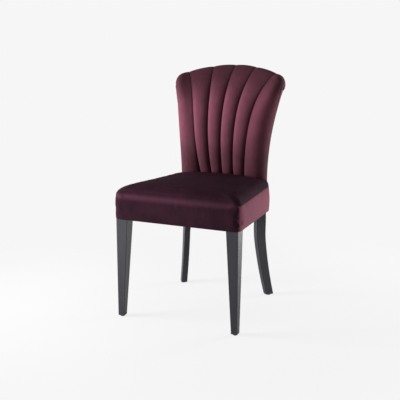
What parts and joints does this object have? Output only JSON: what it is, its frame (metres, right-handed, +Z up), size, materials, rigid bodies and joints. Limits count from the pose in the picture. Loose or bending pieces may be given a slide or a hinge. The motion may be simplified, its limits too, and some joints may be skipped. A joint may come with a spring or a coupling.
{
  "type": "upholstered dining chair",
  "caption": "Upholstered dining chair in plum velvet with a fan of sewn channels up its scrolled back, a boxed crowned seat and dark tapered legs.",
  "frame": {"origin": "on the floor under the middle of the overall bounding box", "axes": "+Z up; the chair faces -Y; +X is to the right seen from the front"},
  "size_m": [0.5048, 0.606, 0.9187],
  "materials": {
    "velvet": "plum velvet pile",
    "foam": "polyurethane foam",
    "wadding": "polyester wadding",
    "stained_wood": "black stained, satin lacquer",
    "frame_wood": "raw planed",
    "plywood": "raw bent plywood",
    "nylon": "moulded nylon",
    "zinc_steel": "zinc plated",
    "webbing": "woven elastic webbing",
    "lining_cloth": "spun-bonded cloth"
  },
  "bodies": {
    "root": {"back_panel": "plywood", "back_rail_dowels": "frame_wood", "channel_cover_inner_left": "velvet", "channel_cover_inner_right": "velvet", "channel_cover_middle_left": "velvet", "channel_cover_middle_right": "velvet", "channel_foam_inner_left": "foam", "channel_foam_inner_right": "foam", "channel_foam_middle_left": "foam", "channel_foam_middle_right": "foam", "corner_block_screws": "zinc_steel", "crest_rail": "frame_wood", "dust_cover": "lining_cloth", "edge_wadding": "wadding", "front_corner_block_left": "frame_wood", "front_corner_block_right": "frame_wood", "front_glide_left": "nylon", "front_glide_right": "nylon", "front_leg_left": "stained_wood", "front_leg_right": "stained_wood", "front_seat_rail": "frame_wood", "lower_back_rail": "frame_wood", "outer_channel_cover_left": "velvet", "outer_channel_cover_right": "velvet", "outer_channel_foam_left": "foam", "outer_channel_foam_right": "foam", "outside_back_cover": "velvet", "platform_cloth": "lining_cloth", "rear_corner_block_left": "frame_wood", "rear_corner_block_right": "frame_wood", "rear_glide_left": "nylon", "rear_glide_right": "nylon", "rear_leg_bolts": "zinc_steel", "rear_leg_left": "stained_wood", "rear_leg_right": "stained_wood", "rear_seat_rail": "frame_wood", "seat_cover": "velvet", "seat_foam": "foam", "seat_rail_dowels": "frame_wood", "side_seat_rail_left": "frame_wood", "side_seat_rail_right": "frame_wood", "webbing_crosswise": "webbing", "webbing_lengthwise": "webbing"}
  },
  "joints": []
}
